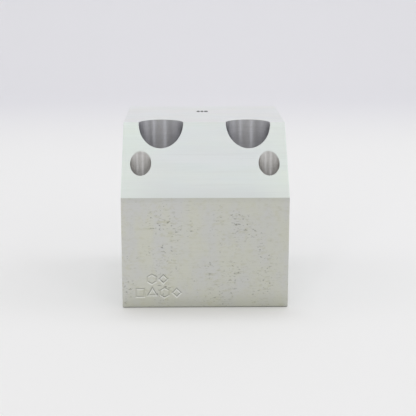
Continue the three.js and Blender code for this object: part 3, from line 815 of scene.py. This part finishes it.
def paintBody(mesh):  # gives each face of the block the finish that its tool left, with a painted highlight and painted shade on the stamp walls and painted shade on the foot's bevel
    finishes = {"milled": milled, "front": front, "light": stampPaintedHighlight, "dark": paintedShadeFinish,
                "counterbore": counterbored, "ream": reamed, "across": boredAcross, "rear": boredRear,
                "ink": inked}
    mesh.materials.clear()
    for finish in finishes.values():
        mesh.materials.append(finish)
    order = list(finishes)
    slope = Vector((0, -1, 1)).normalized()
    outerFaces = [(Vector((1, 0, 0)), high.x), (Vector((-1, 0, 0)), -low.x), (Vector((0, 1, 0)), rearY),
                  (Vector((0, 0, -1)), 0), (Vector((0, 0, 1)), high.z),
                  (slope, slope.dot(Vector((0, low.y, high.z - block.chamfer))))]
    for polygon in mesh.polygons:
        polygon.material_index = order.index(finishOf(polygon, outerFaces))


# How far from a face, and how squarely to it, a polygon still counts as part of it.
near = Sizes(front=0.6, face=0.45, mark=(2, 20), ink=(3.5, 5), bore=1, facing=0.3, side=0.7, relief=8)


def finishOf(polygon, outerFaces):
    spot = polygon.center / mm
    normal = polygon.normal
    if spot.y < low.y + near.front and spot.z < high.z - block.chamfer - 0.05:
        # the foot's downward bevel gets painted shade, standing in for the contact shadow
        if spot.z < block.footBreak and normal.z < -near.facing:
            return "dark"
        # the stamps' upward-facing walls get the painted highlight and their downward-facing walls painted
        # shade
        if spot.y > low.y + 0.02 and near.mark[0] < spot.z < near.mark[1]:
            return "light" if normal.z > 0.1 else "dark" if normal.z < -0.1 else "front"
        return "front"
    inInk = abs(spot.x) < near.ink[0] and abs(spot.y - inkDots.y) < near.ink[1]
    if inInk and high.z - 0.5 < spot.z < high.z - 0.005:
        return "ink"
    for outward, distance in outerFaces:
        if outward.dot(spot) > distance - near.face and normal.dot(outward) > near.facing:
            return "milled"
    fixing = low.y + boltHole.behind + boltHole.head + near.bore
    if spot.y < fixing and abs(spot.x) > boltHole.x - boltHole.head - near.bore and abs(normal.z) < near.side:
        return "counterbore" if abs(spot.x) < smallHole.x - smallHole.radius or (
            spot.y > low.y + smallHole.behind + smallHole.radius + near.bore) else "ream"
    if spot.y > spoolY + spoolLine.groove + near.bore and abs(normal.y) < near.side and (
            spot.x < high.x - near.relief):
        return "rear"
    return "across" if abs(normal.x) < near.side else "counterbore"


makeBody()
print("block ready")


# Turned pieces.

def hexChamfer(flats, low, high, bottomToo=False):  # a turned body that takes the corners off a hexagon
    corner = flats / sqrt(3)
    face = flats / 2 - 0.1
    drop = (corner - face) * tan(radians(30))
    profile = [(0, low), (face if bottomToo else corner, low)]
    if bottomToo:
        profile.append((corner, low + drop))
    return lathe("corners", profile + [(corner, high - drop), (face, high), (0, high)], 96)


def keySocket(flats, mouth, depth, upwards=1):  # cutters for a hexagon socket with a turned mouth
    bottom = mouth - upwards * depth
    corner = flats / sqrt(3)
    socket = prism("socket", hexagon(flats), min(bottom, mouth + upwards), max(bottom, mouth + upwards))
    outer, inner = mouth + upwards * 0.1, mouth - upwards * 0.35
    points = [(0, outer), (corner + 0.25, outer), (corner - 0.2, inner), (0, inner)]
    above = bottom + upwards * 0.1
    drillPoint = [(0, above), (flats / 2 - 0.05, above), (0, bottom - upwards * 0.9)]
    if upwards < 0:
        points.reverse()
        drillPoint.reverse()
    return [socket, lathe("mouth", points, 48), lathe("point", drillPoint, 48)]


def bar(radius, low, high, lowEdge, highEdge):  # the outline of a round bar with broken ends
    return [(0, low), (radius - lowEdge, low), (radius, low + lowEdge), (radius, high - highEdge),
            (radius - highEdge, high), (0, high)]


def groove(size):  # the seal groove of a bar, to put between its ends
    return [(size.radius, size.sealLow), (size.groove, size.sealLow),
            (size.groove, size.sealHigh), (size.radius, size.sealHigh)]


def screwed(name, profile, facets, finish, thread, rows, past=0.0):  # a turned piece with a thread
    radius, depth, pitch, low, high = thread
    piece = lathe(name, profile, facets, finish, (low, high, rows))
    return reshaped(piece, threads, finish, Radius=radius * mm, Depth=depth * mm, Pitch=pitch * mm,
                    Low=low * mm, High=(high + past) * mm, Taper=0.6 * pitch * mm)


def sealRing(name, middle, section, height, slim=1.0):
    points = []
    for step in range(25):
        angle = 2 * pi * step / 24
        points.append((middle + section * cos(angle), height + section * slim * sin(angle)))
    points[-1] = points[0]
    return lathe(name, points, 96, rubber)


def pressed(piece, slotName, node, body="valve"):  # onto the relief valve's axis
    settled(placedOn(reliefAxis, piece), body, slotName, node)


def placedOn(line, piece, side=1):  # from its own Z axis onto a line along X
    return moved(piece, towardsX[side], (0, line[0] * mm, line[1] * mm))


spoolAxis = (spoolY, spoolZ)
reliefAxis = (reliefY, reliefZ)
sideNames = {"left": -1, "right": 1}

# The spool, measured from its middle.
spoolSize = Sizes(radius=7.0, neck=4.5, landStart=4.3, landEnd=9.7, endLand=16.5, half=21.0, edge=0.4,
                  fillet=0.7, balance=(5.7, 7.0, 8.3, 17.9, 19.3), notches=6, screwHole=1.7)


def makeSpool():
    s = spoolSize
    half = [(s.neck, s.landStart - s.fillet), (s.neck + s.fillet, s.landStart),
            (s.radius, s.landStart)]
    for place in s.balance:
        if place > s.endLand > half[-1][1]:
            half += [(s.radius, s.landEnd), (s.neck + s.fillet, s.landEnd),
                     (s.neck, s.landEnd + s.fillet), (s.neck, s.endLand - s.fillet),
                     (s.neck + s.fillet, s.endLand), (s.radius, s.endLand)]
        floor = s.radius - 0.3
        half += [(s.radius, place - 0.2), (floor, place - 0.15), (floor, place + 0.15),
                 (s.radius, place + 0.2)]
    half += [(s.radius, s.half - s.edge), (s.radius - s.edge, s.half), (0, s.half)]
    piece = lathe("mainSpool", [(r, -z) for r, z in reversed(half)] + half, 128, ground)
    cuts = []
    for side in (-1, 1):
        for place in (s.landStart, s.landEnd):
            for step in range(s.notches):  # metering notches in the lands' edges
                angle = 2 * pi * step / s.notches
                notch = lathe("notch", [(0, -0.6), (0.75, -0.6), (0.75, 2), (0, 2)], 24)
                spot = (s.radius * cos(angle), s.radius * sin(angle), side * place)
                cuts.append(moved(notch, facing(spot[:2] + (0,)), Vector(spot) * mm))
        hole = [(0, s.half - 5.8), (s.screwHole, s.half - 5), (s.screwHole, s.half - 0.4),
                (s.screwHole + 0.45, s.half + 0.05), (0, s.half + 0.05)]
        if side < 0:
            hole = [(r, -z) for r, z in reversed(hole)]
        cuts.append(lathe("centre", hole, 48))
    piece = combine(piece, cuts)
    settled(placedOn(spoolAxis, piece), "spool", "ground_steel", "main_spool")


guideSize = Sizes(low=21.1, flangeEnd=22.3, radius=6.5, stub=4.2, high=24.3, edge=0.25, key=3, keyDepth=1.4)
coilSize = Sizes(radius=5.2, wire=0.9, low=22.4, high=30.2, turns=4.0)


def makeGuide(sideName, side):
    g = guideSize
    profile = bar(g.radius, g.low, g.flangeEnd, g.edge, g.edge)[:5]
    profile += [(g.stub, g.flangeEnd), (g.stub, g.high - 0.5), (g.stub - 0.5, g.high), (0, g.high)]
    piece = lathe(sideName + "SpringGuide", profile, 96, ground)
    piece = combine(piece, keySocket(g.key, g.high, g.keyDepth))
    settled(placedOn(spoolAxis, piece, side), "spool", "ground_steel", sideName + "_spring_guide")


def springOn(name, size, steps=260, start=0.0, end=1.0):
    return grown(name, springs, sprung, Radius=size.radius * mm, Wire=size.wire * mm, Low=size.low * mm,
                 High=size.high * mm, Turns=size.turns, Steps=steps, From=start, To=end)


def flattened(piece, size):  # grinds the ends of a spring square
    for vertex in piece.data.vertices:
        vertex.co.z = min(max(vertex.co.z, (size.low + 0.02) * mm), (size.high - 0.02) * mm)
    return smoothed(piece, 50)


def blended(piece, nodeName, bodies, start, end):
    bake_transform(piece)
    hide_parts(nodeName)


def makeCentringSpring(sideName, side):
    piece = flattened(springOn(sideName + "CentringSpring", coilSize), coilSize)
    placedOn(spoolAxis, piece, side)
    ends = [(side * coilSize[key] * mm, spoolY * mm, spoolZ * mm) for key in ("low", "high")]
    blended(piece, sideName + "_centring_spring", ("spool", "valve"), *ends)


plugSize = Sizes(low=30.3, high=37.2, radius=10.85, edge=0.6, sealLow=31.5, sealHigh=33.5, groove=9.15,
                 pitch=1.5, threadDepth=0.8, socket=10.0, socketDepth=5.0, seal=(10.05, 0.8))


def makeEndPlug(sideName, side):
    p = plugSize
    top = p.high - p.edge
    profile = bar(p.radius, p.low, p.high, p.edge, p.edge)
    profile[5:5] = [(8.2, p.high), (8.0, p.high - 0.15), (7.6, p.high - 0.15), (7.4, p.high)]
    profile[3:3] = groove(p)
    thread = (p.radius, p.threadDepth, p.pitch, p.sealHigh, top)
    piece = screwed(sideName + "EndPlug", profile, 128, plated, thread, 34)
    piece = combine(piece, keySocket(p.socket, p.high, p.socketDepth))
    settled(placedOn(spoolAxis, piece, side), "valve", "plated_steel", sideName + "_end_plug")
    seal = sealRing(sideName + "EndPlugSeal", *p.seal, (p.sealLow + p.sealHigh) / 2)
    settled(placedOn(spoolAxis, seal, side), "valve", "seal_rubber", sideName + "_end_plug_seal")


orificeSize = Sizes(radius=2.35, length=3.6, edge=0.35, bore=0.45, socket=2.5, socketDepth=1.6)


def makeOrifice(sideName):
    o = orificeSize
    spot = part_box(sideName + "_pilot_orifice")
    middle = (spot[0] + spot[1]) / 2
    top = o.length - o.edge
    profile = bar(o.radius, 0, o.length, o.edge, o.edge)
    piece = screwed(sideName + "PilotOrifice", profile, 64, brassy, (o.radius, 0.3, 0.7, o.edge, top), 40)
    cuts = keySocket(o.socket, o.length, o.socketDepth)
    cuts.append(lathe("bore", [(0, -1), (o.bore, -1), (o.bore, 3), (0, 3)], 32))
    piece = combine(piece, cuts)
    moved(piece, alongY, (middle.x, spot[0].y, middle.z))
    settled(piece, "valve", "brass", sideName + "_pilot_orifice")


def makeExpander(node, turn, mouth, radius, length):  # a sleeve with the ball that spread it
    ball = radius * 0.72
    ballHeight = -0.45 - ball
    low = 0.3 - length
    profile = [(0, low), (radius - 0.5, low), (radius, low + 0.5)]
    for step in range(3):
        ridge = low + 1.2 + step * 0.9
        profile += [(radius, ridge - 0.22), (radius - 0.16, ridge), (radius, ridge + 0.22)]
    profile += [(radius, -0.4), (radius - 0.12, -0.2), (radius - 0.3, -0.1), (ball + 0.3, -0.1),
                (ball + 0.15, -0.25), (ball + 0.15, ballHeight + 0.3)]
    for step in range(15):
        angle = pi / 2 * (0.08 + 0.92 * step / 14)
        profile.append((ball * cos(angle) if step < 14 else 0, ballHeight + ball * sin(angle)))
    piece = lathe(node.title().replace("_", ""), profile, 72, plated)
    settled(moved(piece, turn, mouth), "valve", "plated_steel", node)


def makeExpanders():
    small = (3.5, 5.0)
    for node in ("pressure_riser_plug", "relief_riser_plug"):
        spot = centreOf(node)
        makeExpander(node, downwards, (spot.x, spot.y, 0), *small)
    for node in ("pressure_cross_plug", "left_tank_drilling_plug", "right_tank_drilling_plug"):
        spot = centreOf(node)
        makeExpander(node, alongY, (spot.x, blockHigh.y, spot.z), *small)
    spot = centreOf("tank_gallery_plug")
    makeExpander("tank_gallery_plug", towardsX[1], (blockHigh.x, spot.y, spot.z), 5.0, 6.0)


def makeWorkPortSeal(sideName):
    spot = centreOf(sideName + "_work_port_seal")
    seal = moved(sealRing(sideName + "WorkPortSeal", 5.2, 0.5, 0.55), upright, (spot.x, spot.y, 0))
    settled(seal, "valve", "seal_rubber", sideName + "_work_port_seal")


# The relief valve, measured along X.
reliefCoil = Sizes(radius=3.2, wire=0.9, low=17.4, high=24.9, turns=4.0)
bushingSize = Sizes(low=22.3, thread=6.85, threadEnd=29.6, neck=5.95, headLow=31.6, headHigh=34.0,
                    flats=14.0, hole=3.15, chamber=4.9, chamberEnd=28.9, seal=(6.45, 0.4))
nutSize = Sizes(low=34.2, high=36.4, flats=10, hole=3.15)
screwSize = Sizes(low=27.1, high=37.0, radius=2.9, groove=2.05, sealLow=30.4, sealHigh=31.7,
                  seal=(2.52, 0.42), key=3, keyDepth=3)


def makeReliefCone():
    seat = lathe("reliefSeat", [(2.1, 10.2), (5.65, 10.2), (5.85, 10.4), (5.85, 13.6), (5.65, 13.8),
                                (3.4, 13.8), (2.1, 12.5), (2.1, 10.2)], 96, ground)
    pressed(seat, "ground_steel", "relief_seat")
    cone = lathe("reliefPoppet", [(0, 11.6), (0.9, 11.6), (3.4, 14.4), (3.4, 15.2), (3.7, 15.5), (4.4, 15.5),
                                  (4.6, 15.7), (4.6, 17.1), (4.4, 17.3), (1.9, 17.3), (1.9, 19.6), (1.5, 20),
                                  (0, 20)], 96, ground)
    pressed(cone, "ground_steel", "relief_poppet", "relief_cone")
    low, high = reliefCoil.low, reliefCoil.high
    middle = (low + high) / 2
    halves = (("reliefSpringInner", 0.0, 0.5, ("relief_cone", "valve"), low, middle),
              ("reliefSpringOuter", 0.5, 1.0, ("valve", "adjuster"), middle, high))
    for name, start, end, bodies, inner, outer in halves:  # the spring is made in two halves, one next to the cone and one next to the screw
        coil = flattened(springOn(name, reliefCoil, 260, start, end), reliefCoil)
        placedOn(reliefAxis, coil)
        ends = [(x * mm, reliefY * mm, reliefZ * mm) for x in (inner, outer)]
        blended(coil, "relief_spring", bodies, *ends)
    disc = lathe("reliefSpringDisc", [(0, 23), (1.5, 23), (1.9, 23.4), (1.9, 25), (4.3, 25), (4.5, 25.2),
                                      (4.5, 26.8), (4.3, 27), (0, 27)], 96, ground)
    pressed(disc, "ground_steel", "relief_spring_disc", "adjuster")


def makeBushing():
    b = bushingSize
    shank = [(0, b.low), (b.thread - 0.6, b.low), (b.thread, b.low + 0.6), (b.thread, b.threadEnd),
             (b.neck, b.threadEnd + 0.01), (b.neck, b.headLow + 1), (0, b.headLow + 1)]
    thread = (b.thread, 0.6, 1.0, b.low + 0.6, b.threadEnd)
    shank = screwed("reliefBushing", shank, 112, plated, thread, 56)
    head = prism("head", hexagon(b.flats, 30), b.headLow, b.headHigh, plated)
    head = combine(head, [hexChamfer(b.flats, b.headLow, b.headHigh)], "INTERSECT")
    whole = combine(shank, [head], "UNION")
    hole = lathe("hole", [(0, b.low - 1), (b.chamber + 0.3, b.low - 0.05), (b.chamber, b.low + 0.3),
                          (b.chamber, b.chamberEnd - 0.8), (b.hole, b.chamberEnd),
                          (b.hole, b.headHigh - 0.3), (b.hole + 0.4, b.headHigh + 0.1),
                          (0, b.headHigh + 0.1)], 80)
    whole = combine(whole, [hole])
    pressed(whole, "plated_steel", "relief_bushing")
    seal = sealRing("reliefBushingSeal", *b.seal, b.headLow - 1.2)
    pressed(seal, "seal_rubber", "relief_bushing_seal")


def makeAdjuster():
    a = screwSize
    profile = bar(a.radius, a.low, a.high, 0.7, 0.5)
    profile[3:3] = groove(a)
    thread = (a.radius, 0.5, 1.0, a.sealHigh, a.high - 0.5)
    piece = screwed("reliefAdjustingScrew", profile, 96, plated, thread, 60, 0.1)
    piece = combine(piece, keySocket(a.key, a.high, a.keyDepth))
    pressed(piece, "plated_steel", "relief_adjusting_screw", "adjuster_screw")
    seal = sealRing("reliefAdjustingScrewSeal", *a.seal, (a.sealLow + a.sealHigh) / 2)
    pressed(seal, "seal_rubber", "relief_adjusting_screw_seal", "adjuster")
    n = nutSize
    nut = prism("reliefLocknut", hexagon(n.flats), n.low, n.high, plated)
    nut = combine(nut, [hexChamfer(n.flats, n.low, n.high, True)], "INTERSECT")
    hole, mouth, below, above = n.hole, n.hole + 0.4, n.low - 0.1, n.high + 0.1
    nut = combine(nut, [lathe("hole", [(0, below), (mouth, below), (hole, n.low + 0.3),
                                       (hole, n.high - 0.3), (mouth, above), (0, above)], 80)])
    pressed(nut, "plated_steel", "relief_locknut", "adjuster_nut")


# The load check valve, measured along Z.
checkCoil = Sizes(radius=2.6, wire=0.8, low=4.8, high=11.9, turns=4.5)


def makeLoadCheck():
    spot = centreOf("load_check_poppet")
    place = (spot.x, spot.y, 0)
    cone = lathe("loadCheckPoppet", [
        (0, 12), (3.1, 12), (3.4, 11.7), (3.4, 8.1), (3.6, 7.8), (5.5, 7.8), (5.7, 8.0), (5.7, 8.9),
        (5.45, 9.0), (5.45, 9.4), (5.7, 9.5), (5.7, 10.9), (5.45, 11.0), (5.45, 11.4), (5.7, 11.5), (5.7, 13),
        (4.2, 13.6), (4.2, 16.8), (1.2, 19.8), (0, 19.8)], 96, ground)
    settled(moved(cone, upright, place), "check_cone", "ground_steel", "load_check_poppet")
    coil = moved(flattened(springOn("loadCheckSpring", checkCoil), checkCoil), upright, place)
    ends = [(spot.x, spot.y, checkCoil[key] * mm) for key in ("low", "high")]
    blended(coil, "load_check_spring", ("valve", "check_cone"), *ends)
    plug = screwed("loadCheckPlug", [
        (0, 0.3), (5.0, 0.3), (5.15, 0.42), (5.35, 0.42), (5.5, 0.3), (6.35, 0.3), (6.85, 0.8), (6.85, 2.9),
        (5.85, 2.9), (5.85, 4.1), (6.85, 4.1), (6.85, 4.7), (0, 4.7)],
        112, plated, (6.85, 0.6, 1.0, 0.8, 2.9), 24)
    plug = combine(plug, keySocket(6, 0.3, 2.6, -1))
    settled(moved(plug, upright, place), "valve", "plated_steel", "load_check_plug")
    seal = moved(sealRing("loadCheckPlugSeal", 6.4, 0.45, 3.5), upright, place)
    settled(seal, "valve", "seal_rubber", "load_check_plug_seal")


makeSpool()
for sideName, side in sideNames.items():
    makeGuide(sideName, side)
    makeCentringSpring(sideName, side)
    makeEndPlug(sideName, side)
    makeOrifice(sideName)
    makeWorkPortSeal(sideName)
makeExpanders()
print("spool, plugs and orifices ready")
makeReliefCone()
makeBushing()
makeAdjuster()
makeLoadCheck()
print("relief valve and load check ready")


# Floor and light.

def paperFinish(maker, point):  # a warm white floor that turns into a cooler, dimmer wall: the wall's tone is painted shade with a cool tint
    across, inward, height = maker.split(point)
    wallPaintedShade = maker.rise(inward, 330, 760)
    return {"Base Color": maker.blend(wallPaintedShade, tone(0.915, 0.912, 0.905), tone(0.83, 0.826, 0.856))}


# The paper sweep, in metres.
sweep = Sizes(front=-2.2, bend=0.75, curve=0.55, height=2.2, halfWidth=3.0, below=0.00002)


def makeFloor():
    work = bmesh.new()
    bend, curve, half = sweep.bend, sweep.curve, sweep.halfWidth
    outline = [(sweep.front, 0.0), (bend, 0.0)]
    for step in range(1, 25):
        angle = pi / 2 * step / 24
        outline.append((bend + curve * sin(angle), curve * (1 - cos(angle))))
    outline.append((bend + curve, sweep.height))
    rows = [[work.verts.new((x, y, z - sweep.below)) for x in (-half, half)] for y, z in outline]
    for one, two in zip(rows, rows[1:]):
        work.faces.new([one[0], one[1], two[1], two[0]])
    mesh = bpy.data.meshes.new("paperSweep")
    work.to_mesh(mesh)
    work.free()
    mesh.shade_smooth()
    mesh.materials.append(shaded("paperSweep", paperFinish, Roughness=0.9))
    linked("paperSweep", mesh)


lamps = {
    "backOverhead": Sizes(place=(0, 0.35, 1.45), aim=(0, 0, 0), size=(0.5, 0.4), power=1.75),
    "overhead": Sizes(place=(0, 0.1, 1.5), aim=(0, 0.05, 0), size=(1.6, 1.4), power=0.4),
    "rightSoftbox": Sizes(place=(0.9, 0.1, 0.9), aim=(0, 0, 0.02), size=(0.6, 0.6), power=1.4),
    "leftSoftbox": Sizes(place=(-0.9, 0.1, 0.9), aim=(0, 0, 0.02), size=(0.6, 0.6), power=0.75),
    "wallWash": Sizes(place=(0, 0.5, 1.3), aim=(0, 1.0, 0), size=(1.6, 0.4), power=0.96),
    "leftWindow": Sizes(place=(-0.42, -1.05, 0.55), aim=(0, 0, 0.04), size=(0.08, 0.9), power=0.8),
    "rightWindow": Sizes(place=(0.75, -0.95, 0.55), aim=(0, 0, 0.04), size=(0.08, 0.9), power=0.85),
}


def makeLight():
    world = bpy.data.worlds.new("studio")
    scene.world = world
    world.use_nodes = True
    background = world.node_tree.nodes["Background"]
    background.inputs[0].default_value = tone(1, 0.995, 0.978)
    background.inputs[1].default_value = 0.705
    for name, lamp in lamps.items():
        data = bpy.data.lights.new(name, "AREA")
        data.shape = "RECTANGLE"
        data.size, data.size_y = lamp.size
        data.energy = lamp.power
        data.color = (0.985, 1.0, 1.07)
        light = bpy.data.objects.new(name, data)
        place = Vector(lamp.place)
        turn = (Vector(lamp.aim) - place).to_track_quat("-Z", "Y").to_matrix().to_4x4()
        light.matrix_world = Matrix.Translation(place) @ turn
        scene.collection.objects.link(light)
    scene.view_settings.view_transform = "Standard"


makeFloor()
makeLight()
print("studio ready")
